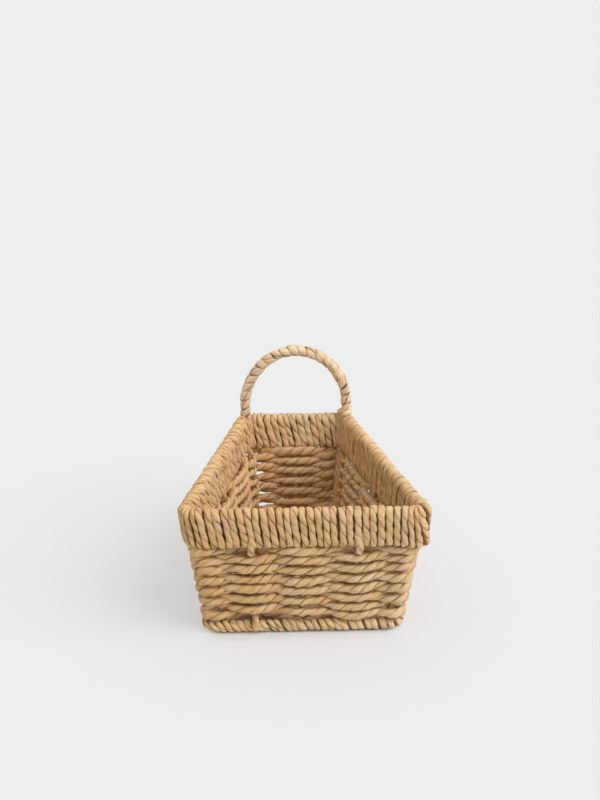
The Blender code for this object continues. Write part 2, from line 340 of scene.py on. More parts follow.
def skin_faces(skin: RopeSkin) -> tuple[Array, Array, Array]:
    """Faces of a rope's skin.

    Quads join neighbouring rings, and a flat face closes each open end. The
    UV map runs in metres: across the plies, and along the rope.

    Args:
        skin: the rope's skin.

    Returns:
        Point numbers of all the corners, each face's count of corners, and
        the corners' places in the UV map.
    """
    count, around = skin.points.shape[:2]
    number = np.arange(count * around).reshape(count, around)
    here = np.arange(count if skin.closed else count - 1)
    ahead = (here + 1) % count
    beside = (np.arange(around) + 1) % around
    quads = np.stack([
        number[here], number[here][:, beside], number[ahead][:, beside], number[ahead]
    ], axis=-1)
    across = skin.girth * np.arange(around + 1) / around
    u = np.broadcast_to(across, (len(here), around + 1))
    v_here, v_ahead = (np.repeat(skin.places[here + step][:, None], around, 1) for step in (0, 1))
    uv = np.stack([
        np.stack([u[:, :-1], v_here], -1), np.stack([u[:, 1:], v_here], -1),
        np.stack([u[:, 1:], v_ahead], -1), np.stack([u[:, :-1], v_ahead], -1),
    ], axis=2).reshape(-1, 2)
    corners, sizes = quads.ravel(), np.full(len(here) * around, 4)
    if not skin.closed:
        corners = np.concatenate([corners, number[0][::-1], number[-1]])
        uv = np.concatenate([uv, np.zeros((2 * around, 2))])
        sizes = np.append(sizes, [around, around])
    return corners, sizes, uv


def rope_piece(name: str, skin: RopeSkin) -> bpy.types.Object:
    """Make a mesh of a rope's skin.

    Args:
        name: the piece's name.
        skin: the rope's skin.

    Returns:
        The piece, with point attributes for the painted shade and the tone.
    """
    corners, sizes, uv = skin_faces(skin)
    count, around = skin.points.shape[:2]
    mesh = bpy.data.meshes.new(name)
    mesh.vertices.add(count * around)
    mesh.vertices.foreach_set("co", skin.points.ravel())
    mesh.loops.add(len(corners))
    mesh.loops.foreach_set("vertex_index", corners)
    mesh.polygons.add(len(sizes))
    mesh.polygons.foreach_set("loop_start", np.cumsum(sizes) - sizes)
    mesh.polygons.foreach_set("use_smooth", np.ones(len(sizes), bool))
    mesh.update(calc_edges=True)
    mesh.uv_layers.new(name="lay").data.foreach_set("uv", uv.ravel())
    for label, values in (("painted_shade", skin.painted_shade.ravel()), ("tone", np.repeat(skin.tone, around))):
        mesh.attributes.new(label, "FLOAT", "POINT").data.foreach_set("value", values)
    piece = bpy.data.objects.new(name, mesh)
    bpy.context.scene.collection.objects.link(piece)
    return piece


def room_beside(points: Array, samples: int) -> Array:
    """Half the distance between the turns on either side of each point of a closed coil.

    Args:
        points: the coil's points.
        samples: points in one turn.

    Returns:
        The distances, measured square to the coil.
    """
    between = np.roll(points, -samples, axis=0) - np.roll(points, samples, axis=0)
    tangent = unit(np.roll(points, -1, axis=0) - np.roll(points, 1, axis=0))
    across = between - (between * tangent).sum(1, keepdims=True) * tangent
    return np.linalg.norm(across, axis=1) / 2


# Finishes


@dataclass(frozen=True)
class TwistedPaper:
    """Twisted kraft paper cord: dull, straw-coloured, with creases along its plies.

    The paper is straw and honey in patches, with a blush here and there.
    Painted shade darkens it in the grooves and on the flanks, and draws the
    creases as dark streaks besides their bumps. The creases are finer than a
    pixel of the render, and are drawn as coarse as they need to be to show.
    Painted light makes the paper lighter towards the right and darker towards
    the left.
    """

    name: str = "twisted_kraft_paper"
    straw: str = "F1D2A5"
    honey: str = "E0B77F"
    blush: str = "E7BE98"
    # Colour of the painted shade in the grooves, on the flanks and in the creases
    painted_shade: str = "80460B"
    roughness: float = 0.86
    gloss: float = 0.25
    patch: float = 14 * MM
    blush_patch: float = 14 * MM / 0.6
    crease: float = 0.9 * MM
    crease_length: float = 9 * MM
    crease_lean: float = 0.12
    crease_depth: float = 0.45 * MM
    painted_shade_share: float = 0.82
    # Painted light: the paper is lighter towards the right and darker towards the left, across this half
    # width
    painted_light_gradient: float = 0.12
    painted_gradient_half: float = 80 * MM

    def material(self) -> bpy.types.Material:
        """Build the finish's material.

        Returns:
            The material, which reads the point attributes of painted shade
            and tone and the UV map lay.
        """
        material = bpy.data.materials.new(self.name)
        material.use_nodes = True
        tree = material.node_tree
        shader = tree.nodes["Principled BSDF"]
        shader.inputs["Roughness"].default_value = self.roughness
        shader.inputs["Specular IOR Level"].default_value = self.gloss

        # Patches of lighter paper
        place = add_node(tree, "TexCoord").outputs["Object"]
        patches = add_node(tree, "TexNoise", {
            "Vector": place, "Scale": 1 / self.patch, "Detail": 3.0, "Roughness": 0.6,
        }).outputs["Fac"]
        tone = add_node(tree, "Attribute", attribute_name="tone").outputs["Fac"]
        across = add_node(tree, "SeparateXYZ", {0: place}).outputs["X"]
        # Painted light, lighter towards the right and darker towards the left
        lightened = add_node(tree, "MapRange", {
            "Value": across, "From Min": -self.painted_gradient_half, "From Max": self.painted_gradient_half,
            "To Min": -self.painted_light_gradient, "To Max": self.painted_light_gradient,
        }).outputs["Result"]
        lightness = add_node(tree, "Math", {0: patches, 1: tone}, operation="ADD").outputs[0]
        lightness = add_node(tree, "Math", {0: lightness, 1: lightened}, operation="ADD").outputs[0]
        lightness = add_node(tree, "MapRange", {
            "Value": lightness, "From Min": 0.25, "From Max": 0.75,
        }).outputs["Result"]

        # Blushes
        blushes = add_node(tree, "TexNoise", {
            "Vector": place, "Scale": 1 / self.blush_patch, "Detail": 2.0,
        }).outputs["Fac"]
        pink = add_node(tree, "MapRange", {
            "Value": blushes, "From Min": 0.5, "From Max": 0.72, "To Max": 0.6,
        }).outputs["Result"]

        # Creases along the plies: bumps, darkened by painted shade
        lay = add_node(tree, "UVMap", uv_map="lay").outputs["UV"]
        stretched = add_node(tree, "Mapping", {
            "Vector": lay, "Scale": (1 / self.crease, 1 / self.crease_length, 1.0),
            "Rotation": (0.0, 0.0, self.crease_lean),
        }).outputs["Vector"]
        creases = add_node(tree, "TexNoise", {
            "Vector": stretched, "Scale": 1.0, "Detail": 4.0, "Roughness": 0.65,
            "Distortion": 0.4,
        }).outputs["Fac"]
        # Painted shade: the creases are darkened towards the shade colour
        crease_shade = add_node(tree, "MapRange", {
            "Value": creases, "From Min": 0.3, "From Max": 0.55, "To Min": 0.5, "To Max": 0.0,
        }).outputs["Result"]
        bump = add_node(tree, "Bump", {
            "Height": creases, "Strength": 0.75, "Distance": self.crease_depth,
        }).outputs["Normal"]
        tree.links.new(bump, shader.inputs["Normal"])

        # Painted shade in the grooves and on the flanks
        painted_shade = add_node(tree, "Attribute", attribute_name="painted_shade").outputs["Fac"]
        groove_and_flank_shade = add_node(tree, "Math", {
            0: painted_shade, 1: self.painted_shade_share,
        }, operation="MULTIPLY").outputs[0]

        # Each layer lies over the ones before it
        body = linear(self.honey)
        layers = ((lightness, self.straw), (pink, self.blush), (crease_shade, self.painted_shade), (groove_and_flank_shade, self.painted_shade))
        for share, colour in layers:
            body = add_node(tree, "Mix", {
                0: share, 6: body, 7: linear(colour),
            }, data_type="RGBA").outputs[2]
        tree.links.new(body, shader.inputs["Base Color"])
        return material


@dataclass(frozen=True)
class FrameWire:
    """Drawn steel wire with a thin tan lacquer, so that it hides between the cords."""

    name: str = "lacquered_steel_wire"
    lacquer: str = "9A7548"
    roughness: float = 0.5
    spots: float = 6 * MM

    def material(self) -> bpy.types.Material:
        """Build the finish's material.

        Returns:
            The material.
        """
        material = bpy.data.materials.new(self.name)
        material.use_nodes = True
        tree = material.node_tree
        shader = tree.nodes["Principled BSDF"]
        shader.inputs["Roughness"].default_value = self.roughness
        place = add_node(tree, "TexCoord").outputs["Object"]
        spots = add_node(tree, "TexNoise", {
            "Vector": place, "Scale": 1 / self.spots, "Detail": 2.0,
        }).outputs["Fac"]
        brightness = add_node(tree, "MapRange", {
            "Value": spots, "To Min": 0.75, "To Max": 1.15,
        }).outputs["Result"]
        body = add_node(tree, "VectorMath", {
            0: linear(self.lacquer)[:3], "Scale": brightness,
        }, operation="SCALE").outputs["Vector"]
        tree.links.new(body, shader.inputs["Base Color"])
        return material


# The basket's shape


@dataclass(frozen=True)
class WallLine:
    """Line of the staves round the basket, at any height.

    The plan is a trapezoid with rounded corners, and the walls lean outwards.
    A place along it is counted in staves, from the front left corner
    anticlockwise. The widths are measured where the side faces meet the front
    and back faces.
    """

    front_width: float = 188.6 * MM
    back_width: float = 97.5 * MM
    depth: float = 208 * MM
    height: float = 105 * MM
    lean: float = math.radians(6.2)
    inset: float = 8.1 * MM
    corner_radius: float = 6 * MM
    run_radius: float = 8.4 * MM
    intervals: tuple[int, ...] = (4, 4, 2, 4)

    @property
    def staves(self) -> int:
        """Number of staves round the basket."""
        return sum(self.intervals)

    @property
    def corners(self) -> Array:
        """Number of the stave at each side's first corner."""
        return totals_before(self.intervals)

    @property
    def taper(self) -> float:
        """Angle by which a side wall turns in from the basket's length."""
        return math.atan2((self.front_width - self.back_width) / 2, self.depth)

    @property
    def angles(self) -> Array:
        """Directions that the four sides face, from +X."""
        return np.array([-math.pi / 2, self.taper, math.pi / 2, math.pi - self.taper])

    def corner_centres(self, level: Array) -> Array:
        """Centres of the four corner arcs at each height.

        A centre lies where the two sides' lines, moved in by the corner
        radius, cross.

        Args:
            level: heights.

        Returns:
            The centres, by height, corner and axis.
        """
        across = (self.front_width * math.cos(self.taper) - self.depth * math.sin(self.taper)) / 2
        rims = np.array([self.depth / 2, across, self.depth / 2, across])
        fall = (self.height - level)[:, None] * math.tan(self.lean)
        reach = rims - self.inset - self.corner_radius - fall
        normals = np.stack([np.cos(self.angles), np.sin(self.angles)], 1)
        before = np.roll(normals, 1, axis=0)
        reach_before = np.roll(reach, 1, axis=1)
        cross = before[:, 0] * normals[:, 1] - before[:, 1] * normals[:, 0]
        x = (reach_before * normals[:, 1] - reach * before[:, 1]) / cross
        y = (before[:, 0] * reach - normals[:, 0] * reach_before) / cross
        return np.stack([x, y], -1)

    def place(self, stave: Array, level: Array, out: Array) -> tuple[Array, Array]:
        """Points beside the wall's line, and the direction outwards there.

        Each side runs from the middle of one corner's arc to the middle of
        the next one's: half an arc, a straight run and half an arc.

        Args:
            stave: places along the wall, in staves.
            level: heights.
            out: distances outside the line.

        Returns:
            Points and outward directions.
        """
        stave = np.asarray(stave, float) % self.staves
        level, out = np.broadcast_to(level, stave.shape), np.broadcast_to(out, stave.shape)
        side = np.searchsorted(self.corners, stave, side="right") - 1
        after = (side + 1) % len(self.intervals)
        share = (stave - self.corners[side]) / np.array(self.intervals)[side]
        centres = self.corner_centres(level)
        row = np.arange(len(stave))
        start, end = centres[row, side], centres[row, after]
        arcs = (self.angles - np.roll(self.angles, 1)) % (2 * np.pi) * self.run_radius / 2
        straight = np.linalg.norm(end - start, axis=1)
        run = share * (arcs[side] + straight + arcs[after]) - arcs[side]
        centre = start + np.clip(run / straight, 0, 1)[:, None] * (end - start)
        bend = np.minimum(run, 0) + np.maximum(run - straight, 0)
        angle = self.angles[side] + bend / self.run_radius
        outward = np.stack([np.cos(angle), np.sin(angle), np.zeros_like(angle)], 1)
        points = np.column_stack([centre, level]) + outward * (self.corner_radius + out)[:, None]
        return points, outward


# The basket's parts


@dataclass
class Part:
    """A part of the basket that is made of rope.

    In a part, a field named drift or drifts holds the spacing and the amount
    of smooth random drifts.
    """

    wall: WallLine
    paper: bpy.types.Material
    rng: np.random.Generator

    def dress(self, piece: bpy.types.Object, slot: Slot, node: str) -> None:
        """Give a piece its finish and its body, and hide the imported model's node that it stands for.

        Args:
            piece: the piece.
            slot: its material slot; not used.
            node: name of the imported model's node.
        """
        piece.data.materials.append(self.paper)
        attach(piece, BODY)
        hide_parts(node)
        log.info("%s: %d faces, for %s", piece.name, len(piece.data.polygons), node)

    def tones(self, count: int, spread: float) -> Array:
        """Random lightness for each of a number of places."""
        return self.rng.normal(0.0, spread, count)

    def drift(self, places: Array, *drifts: tuple[float, float], closed: bool = True) -> Array:
        """The sum of smooth random drifts, each given by its spacing and its amount."""
        return sum(wander(places, spacing, amount, self.rng, closed) for spacing, amount in drifts)


@dataclass
class WovenWall(Part):
    """Thirteen closed rows, each passing in and out of the staves.

    Even rows pass outside the corner staves, odd rows inside them. The odd
    rows sag at the front's first and third staves, most of all near the rim,
    where the stave's head presses on them. Round the back and sides the
    inner ropes lie a little high and the outer ones a little low, which
    closes the view between them from above. The first row lies down on the
    bottom edge at the front corners and outside the front's third stave.

    Places and widths along a row are in staves.
    """

    rows: int = 13
    samples: int = 54
    sample_length: float = 0.8 * MM
    lowest: float = 17.55 * MM
    highest: float = 70.05 * MM

    # The swing in and out of the staves
    reach: float = 4.4 * MM
    sharpness: float = 0.9
    turned_stave: int = 3
    outer_corner_shares: tuple[float, ...] = (0.7, 1.15, 0.85, 1.0)
    inner_corner_shares: tuple[float, ...] = (-0.6, -1.0, -0.6, 0.9)
    corner_widths: tuple[float, ...] = (0.14, 0.14, 0.26, 0.26)

    # How inner and outer ropes are moved apart in height: places and millimetres
    closings: tuple[tuple[float, float], ...] = (
        (0.15, 0.0), (3.85, 0.0), (4.15, 1.3), (7.85, 1.3), (8.15, 1.2), (8.6, 1.6), (9.85, 1.5),
        (10.15, 0.6), (13.85, 0.6),
    )
    unclosed_share: float = 1.1
    unclosed_place: float = -0.22
    unclosed_width: float = 0.26
    corner_opening: float = 2.2 * MM
    top_opening_share: float = 0.6
    opening_place: float = 0.2
    opening_width: float = 0.2

    # Where rows are drawn up
    side_fade: float = 0.8
    back_half: float = 3.2
    back_fade: float = 1.6
    back_rise: float = 2.2 * MM
    corner_rise: float = 2.7 * MM
    corner_rise_width: float = 0.5
    middle_power: float = 1.2
    top_rise: float = 1.3 * MM
    back_top_rise: float = 0.6 * MM
    top_power: float = 3.0
    bow: float = 0.9 * MM
    bow_half: float = 2.4

    # Where rows sag
    head_staves: tuple[int, int] = (1, 3)
    sag: float = 0.9 * MM
    top_sag: float = 2.4 * MM
    sag_width: float = 0.42
    last_sag: float = 1.3 * MM
    last_side_sag: float = 0.9 * MM
    last_side_sag_places: tuple[float, float] = (6.3, 11.7)
    last_sag_width: float = 0.6

    # Where the first row lies down: places, millimetres and widths
    first_drops: tuple[tuple[float, float, float], ...] = (
        (13.6, 3.0, 0.3), (0.3, 2.9, 0.3), (3.0, 4.2, 0.42), (3.72, 2.2, 0.3), (4.4, 4.0, 0.3),
    )

    # The rope's thickness
    half_height: float = 3.15 * MM
    half_depth: float = 2.75 * MM
    crossing_half_depth: float = 3.2 * MM
    crossing_share: float = 1.05
    steepest_share: float = 0.05
    full_squeeze: float = 0.3
    top_thickening: float = 0.3
    thickening_power: int = 6
    corner_swell: float = 0.5
    corner_swell_width: float = 0.14
    corner_pinch: float = 0.45
    corner_pinch_places: tuple[float, float] = (0.24, 3.76)
    corner_pinch_width: float = 0.1
    stiffness: int = 4

    # What differs from row to row
    unevenness: float = 0.4 * MM
    level_drift: tuple[float, float] = (17 * MM, 0.28 * MM)
    thickness_drift: tuple[float, float] = (14 * MM, 0.06)
    tone_drift: tuple[float, float] = (25 * MM, 0.08)
    front_unevenness: float = 0.5
    # Painted shade on the front wall, darkest at its left end, where less light falls
    front_painted_shade_tones: tuple[float, float, float] = (-0.1, -0.03, 0.0)

    def pitch(self) -> float:
        """Distance between rows."""
        return (self.highest - self.lowest) / (self.rows - 1)

    def bump(self, stave: Array, width: float, *places: float) -> Array:
        """The sum of bell curves of height one round places on the wall."""
        half = self.wall.staves / 2
        return sum(bell((stave - place + half) % (2 * half) - half, width) for place in places)

    def off_front(self, stave: Array) -> Array:
        """Zero on the front wall, one round the sides and back."""
        right = self.wall.corners[Side.RIGHT.value]
        return np.clip(np.minimum(stave - right, self.wall.staves - stave) / self.side_fade, 0, 1)

    def swing(self, row: int, stave: Array) -> Array:
        """A row's way in and out of the staves: a cosine of the place, squared off.

        A squared cosine is tanh(a * c) / tanh(a). The first row turns round
        at one stave, which it passes on the outside.

        Args:
            row: the row's number, from zero.
            stave: places along the row.

        Returns:
            One outside a stave and minus one inside it.
        """
        cosine = np.cos(np.pi * stave) * (-1) ** row
        if row == 0:
            cosine = np.where(np.abs(stave - self.turned_stave) < 0.5, -cosine, cosine)
        return np.tanh(self.sharpness * cosine) / math.tanh(self.sharpness)

    def push(self, row: int, stave: Array) -> Array:
        """How much of its swing a row has, which differs at each corner.

        Args:
            row: the row's number, from zero.
            stave: places along the row.

        Returns:
            Shares of the swing.
        """
        shares = self.inner_corner_shares if row % 2 else self.outer_corner_shares
        push = np.ones_like(stave)
        for corner, share, width in zip(self.wall.corners, shares, self.corner_widths):
            push += (share - 1) * self.bump(stave, width, corner)
        return push

    def closing(self, stave: Array, height_share: float) -> Array:
        """How far the inner and outer ropes are moved apart in height.

        Each side has its own distance, because the view crosses the walls at
        different slants. It is lost close to the back left corner, where
        daylight shows between the rows, and reversed just past it, most of
        all near the rim.

        Args:
            stave: places along the row.
            height_share: the row's height, from zero to one.

        Returns:
            The distances.
        """
        places, shifts = np.transpose(self.closings)
        even = np.interp(stave, places, shifts * MM, period=self.wall.staves)
        beyond = stave - self.wall.corners[Side.LEFT.value]
        even = even * (1 - self.unclosed_share * bell(beyond - self.unclosed_place, self.unclosed_width))
        opening = self.corner_opening * (1 + self.top_opening_share * height_share)
        return even - opening * bell(beyond - self.opening_place, self.opening_width)

    def rise(self, stave: Array, height_share: float) -> Array:
        """How far a row is drawn up, round the back and at the front corners.

        The rows in the middle of the back wall's height and of the front
        corners' are drawn up, and the top row is drawn up against the band.

        Args:
            stave: places along the row.
            height_share: the row's height, from zero to one.

        Returns:
            The distances.
        """
        _, right, back, _ = self.wall.corners
        back_middle = back + self.wall.intervals[Side.BACK.value] / 2
        near_back = np.clip((self.back_half - np.abs(stave - back_middle)) / self.back_fade, 0, 1)
        near_corners = self.bump(stave, self.corner_rise_width, 0, right)
        middle = self.back_rise * near_back + self.corner_rise * near_corners
        middle *= math.sin(math.pi * height_share ** self.middle_power)
        top = self.top_rise * self.off_front(stave) + self.back_top_rise * near_back
        return middle + top * height_share ** self.top_power

    def sink(self, row: int, stave: Array) -> Array:
        """How far a row lies below its even place at the staves' heads and the bottom edge.

        Even rows bow up between the two heads instead.

        Args:
            row: the row's number, from zero.
            stave: places along the row.

        Returns:
            The distances.
        """
        front_middle = self.wall.corners[Side.RIGHT.value] / 2
        if row % 2:
            dip = self.sag + self.top_sag * row / self.rows
            sink = dip * sum(bell(stave - head, self.sag_width) for head in self.head_staves)
        else:
            bow = self.bow * math.sin(math.pi * row / self.rows)
            sink = -bow * np.clip(1 - np.abs(stave - front_middle) / self.bow_half, 0, 1)
        if row == 0:
            sink += sum(drop * MM * self.bump(stave, width, place)
                        for place, drop, width in self.first_drops)
        if row == self.rows - 1:
            sink += self.last_sag * bell(np.abs(stave - front_middle) - 1, self.last_sag_width)
            sink += self.last_side_sag * self.bump(stave, self.last_sag_width, *self.last_side_sag_places)
        return sink

    def half_sizes(self, row: int, stave: Array) -> tuple[Array, Array]:
        """Half a row's depth and half its height.

        Between staves a row lies a pitch above the next, less than its own
        thickness, so there it is pressed thin and a little deeper: half its
        height is half a pitch / sqrt(1 - a^2), where a is the swing in half
        depths. Outer ropes swell at the front corners, and inner ones are
        pinched beside them. The top rows are thicker round the back and sides.

        Args:
            row: the row's number, from zero.
            stave: places along the row.

        Returns:
            The two sizes along the row.
        """
        apart = np.abs(self.swing(row, stave)) * self.reach / self.half_depth
        steep = np.sqrt(np.maximum(1 - apart ** 2, self.steepest_share))
        room = self.pitch() / 2 * self.crossing_share / steep
        half_height = self.smooth(np.minimum(room, self.half_height))
        squeeze = (1 - half_height / self.half_height) / self.full_squeeze
        half_depth = self.half_depth + (self.crossing_half_depth - self.half_depth) * squeeze
        thickening = self.top_thickening * (row / (self.rows - 1)) ** self.thickening_power
        half_height *= 1 + thickening * self.off_front(stave)
        if row % 2:
            pinch = self.bump(stave, self.corner_pinch_width, *self.corner_pinch_places)
            half_height *= 1 - self.corner_pinch * pinch
        else:
            swell = self.bump(stave, self.corner_swell_width, *self.wall.corners[:2])
            half_height *= 1 + self.corner_swell * swell
        return half_depth, half_height

    def path(self, row: int) -> RopePath:
        """One row, all the way round.

        Args:
            row: the row's number, from zero.

        Returns:
            The row's path.
        """
        count, right = self.wall.staves, self.wall.corners[Side.RIGHT.value]
        height_share = row / (self.rows - 1)
        stave = np.arange(count * self.samples) / self.samples
        places = np.arange(len(stave)) * self.sample_length
        uneven = 1 + self.front_unevenness * (1 - self.off_front(stave))
        offsets = self.rng.normal(0, self.unevenness, count)
        level = self.lowest + row * self.pitch()
        level += np.cos(np.pi * stave) ** 2 * offsets[np.round(stave).astype(int) % count]
        level += self.drift(places, self.level_drift) * uneven
        swing = self.swing(row, stave)
        level -= swing * self.closing(stave, height_share)
        level += self.rise(stave, height_share) - self.sink(row, stave)
        out = self.reach * swing * self.push(row, stave)
        points, outward = self.wall.place(stave, level, out)
        half_depth, half_height = self.half_sizes(row, stave)
        half_height *= 1 + self.drift(places, self.thickness_drift) * uneven
        tone = self.drift(places, self.tone_drift)
        # Painted shade across the front wall, darker towards its left
        painted_front_shade = np.interp(stave, (0, right / 2, right), self.front_painted_shade_tones)
        tone += painted_front_shade * (1 - self.off_front(stave))
        return RopePath(self.smooth(points), outward, half_depth, half_height, tone, closed=True)

    def smooth(self, values: Array) -> Array:
        """Even out a closed row over a few millimetres, as a stiff rope does.

        Args:
            values: a value or a point for each place along the row.

        Returns:
            Each value's mean with its neighbours, which count by a bell curve.
        """
        steps = np.arange(-2 * self.stiffness, 2 * self.stiffness + 1)
        taps = bell(steps, self.stiffness)
        shifted = [np.roll(values, step, axis=0) * tap for step, tap in zip(steps, taps / taps.sum())]
        return np.sum(shifted, axis=0)

    def build(self) -> None:
        """Make the rows."""
        rope = TwistedRope()
        for row in range(self.rows):
            piece = rope_piece(f"wall_rope_{row + 1:02d}", rope.skin(self.path(row), self.rng))
            self.dress(piece, Slot.STRAND, f"wall_row_{row + 1:02d}")


@dataclass
class Staves(Part):
    """Paper-covered staves, one at each corner and between them.

    At odd staves the top row passes behind, and the stave's head is drawn out
    over it into the rim's turns. Some feet pass over the bottom edge. A way
    out is a table of distances, levels and widths of smooth steps, in
    millimetres.
    """

    names: tuple[str, ...] = (
        "front_left", "front_1", "front_2", "front_3", "front_right", "right_1", "right_2",
        "right_3", "back_right", "back_1", "back_left", "left_1", "left_2", "left_3",
    )
    samples: int = 110
    half_width: float = 2.7 * MM
    half_depth: float = 1.7 * MM
    tip: float = 2 * MM
    least_taper: float = 0.05
    foot: float = 10.8 * MM
    head: float = 76 * MM
    outer_head: float = 87 * MM
    way_out_at_head: tuple[tuple[float, float, float], ...] = ((7.0, 68.0, 0.9), (-1.6, 78.0, 0.8))
    first_head_shift: float = 0.055
    feet_over_edge: tuple[int, ...] = (1, 6, 11)
    foot_over_edge: float = 2.6 * MM
    way_out_at_foot: tuple[tuple[float, float, float], ...] = ((6.8, 12.5, -0.8),)
    sway: float = 0.02
    tone_spread: float = 0.05

    def path(self, number: int) -> RopePath:
        """One stave: straight up the wall, and out where its head or foot passes over a row.

        Args:
            number: the stave's number.

        Returns:
            The stave's path.
        """
        low, high, way_out = self.foot, self.head, ()
        if number in self.feet_over_edge:
            low, way_out = self.foot_over_edge, self.way_out_at_foot
        if number % 2 == 1:
            high, way_out = self.outer_head, way_out + self.way_out_at_head
        level = np.linspace(low, high, self.samples)
        out = np.zeros_like(level)
        for distance, middle, width in way_out:
            out += distance * MM * smooth_step(level, middle * MM, width * MM)
        stave = np.full_like(level, number + self.rng.normal(0, self.sway))
        if number == 1:
            stave += self.first_head_shift * level / high
        points, outward = self.wall.place(stave, level, out)
        from_end = np.minimum(level - low, high - level)
        taper = np.sqrt(np.clip(from_end / self.tip, self.least_taper, 1))
        tone = np.full_like(level, self.tones(1, self.tone_spread)[0])
        return RopePath(points, outward, self.half_depth * taper, self.half_width * taper, tone)

    def build(self) -> None:
        """Make the staves."""
        rope = TwistedRope(lay=17 * MM, groove_depth=0.12)
        for number, name in enumerate(self.names):
            piece = rope_piece(f"stave_cord_{name}", rope.skin(self.path(number), self.rng))
            self.dress(piece, Slot.STAVE, f"stave_{name}")


@dataclass
class RimBand(Part):
    """Rim band: cord wound closely round two wires, side by side.

    The cord's way round the wires is a stadium: down the outer face, half a
    circle under the lower wire, up the inner face, half a circle over the top
    wire. All the turns lean a little, and at the front right corner they fan
    out, bulge and hang lower. The front's turns are slack: a little taller
    than the others, and thinner half way down. Places along the band are in
    staves where no other word says so.
    """

    turns: tuple[int, ...] = (32, 35, 17, 35)
    samples: int = 56
    start: float = -0.35
    outer_middle: float = 0.16
    top_wire: float = 98.73 * MM
    lower_wire: float = 79.77 * MM
    wire_offset: float = 2.4 * MM
    cord_reach: float = 3.7 * MM
    run_radius: float = 15 * MM

    # The cord's thickness: fills are shares of the room beside it, one for each side
    half_depth: float = 2.3 * MM
    fills: tuple[float, ...] = (0.5, 0.53, 0.55, 0.52)
    least_half_width: float = 1.2 * MM
    most_half_width: float = 4.0 * MM
    waist: float = 0.05

    # The lie of the turns: leans are places and leans
    leans: tuple[tuple[float, float], ...] = (
        (0.0, -0.015), (2.0, 0.01), (6.0, 0.03), (9.0, 0.06), (12.0, 0.02),
    )
    fan: float = 0.12
    fan_width: float = 0.3
    bulge: float = 3.8 * MM
    bulge_loss: float = 0.9
    hang: float = 4.2 * MM
    corner_swell: float = 0.55
    swell_turns: float = 0.6
    swell_reach_turns: float = 2.0
    front_slack: float = 1.1 * MM

    # What differs from turn to turn, with spacings in turns where no length is given
    turn_length: float = 61 * MM
    place_drifts: tuple[tuple[float, float], ...] = ((0.5, 0.06), (0.2, 0.03), (2.5, 0.08))
    thickness_drifts: tuple[tuple[float, float], ...] = ((0.45, 0.06), (0.14, 0.05))
    proud_drift: tuple[float, float] = (18 * MM, 0.25 * MM)

    # The paper's tones and painted light and shade: inner tones are places and tones
    tone_spread: float = 0.08
    tone_change: float = 0.25
    # Painted shade on the band's front, painted light on its top, and painted light and shade on its
    # inner face, darker at the right and lighter at the back
    painted_front_shade: float = -0.1
    painted_top_light: float = 0.06
    # How much painted flank shade is taken off the turns' tops, round the sides and back and on the front
    top_painted_shade_clearing: float = 0.75
    front_painted_shade_clearing: float = 0.5
    inner_painted_light_tones: tuple[tuple[float, float], ...] = (
        (0.0, 0.0), (4.0, 0.0), (5.0, -0.42), (7.3, -0.42), (8.3, 0.16), (9.8, 0.16), (10.4, 0.0),
    )

    def section(self, share: Array) -> tuple[Array, Array, Array, Array]:
        """The stadium round the two wires.

        Args:
            share: places in a turn, from zero to one.

        Returns:
            Distances out, heights, and the stadium's normal out and up.
        """
        straight = self.top_wire - self.lower_wire
        arc = math.pi * self.cord_reach
        run = share * 2 * (straight + arc)
        down = np.clip(run / straight, 0, 1)
        under = np.clip((run - straight) / arc, 0, 1) * np.pi
        up = np.clip((run - straight - arc) / straight, 0, 1)
        over = np.clip((run - 2 * straight - arc) / arc, 0, 1) * np.pi
        angle = -(under + over)
        centre = self.top_wire - straight * (down - up)
        return (self.cord_reach * np.cos(angle), centre + self.cord_reach * np.sin(angle),
                np.cos(angle), np.sin(angle))

    def stave(self, place: Array) -> Array:
        """Places in staves for places in turns.

        Round the front right corner the turns are spread out, by
        swell * tanh(apart / a) * exp(-(apart / b)^2).

        Args:
            place: places along the band, in turns.

        Returns:
            The same places in staves.
        """
        apart = place - self.turns[0]
        spread = np.tanh(apart / self.swell_turns) * bell(apart, self.swell_reach_turns)
        place = place + self.corner_swell * spread
        firsts = totals_before(self.turns)
        side = np.searchsorted(firsts, place, side="right") - 1
        step = np.divide(self.wall.intervals, self.turns)[side]
        return self.wall.corners[side] + (place - firsts[side]) * step

    def tone(self, turn: Array, stave: Array, normals: tuple[Array, Array], off_front: Array) -> Array:
        """Lightness of the paper: each turn's own, and painted light and shade on the front, the top and
        the inner face.

        Args:
            turn: places along the cord, in turns.
            stave: places along the band.
            normals: the stadium's normal out and up.
            off_front: zero on the front, one round the sides and back.

        Returns:
            The tones.
        """
        normal_out, normal_up = normals
        total = sum(self.turns)
        per_turn = self.tones(total, self.tone_spread)
        tone = per_turn[((turn + self.tone_change) % total).astype(int)]
        # Painted light on the top and painted shade on the front
        tone = tone + self.painted_top_light * np.clip(normal_up, 0, 1) + self.painted_front_shade * (1 - off_front)
        # Painted light and shade on the inner face: darker on the right, lighter at the back
        inner = np.interp(stave, *np.transpose(self.inner_painted_light_tones), period=self.wall.staves)
        return tone + inner * np.clip(-normal_out, 0, 1)

    def path(self) -> RopePath:
        """All the turns, from side to side, starting on the first one's inner face.

        Each turn is as wide as half the distance between the turns beside it.

        Returns:
            The whole cord's path.
        """
        count, corner = self.wall.staves, self.wall.corners[Side.RIGHT.value]
        total = sum(self.turns)
        turn = np.arange(total * self.samples) / self.samples + self.start
        out, level, normal_out, normal_up = self.section(turn % 1)
        drift = self.drift(turn, *self.place_drifts)
        stave = self.stave((turn + drift - self.outer_middle) % total)
        near = bell(stave - corner, self.fan_width)
        off_front = np.clip(np.minimum(stave - corner, count - stave), 0, 1)

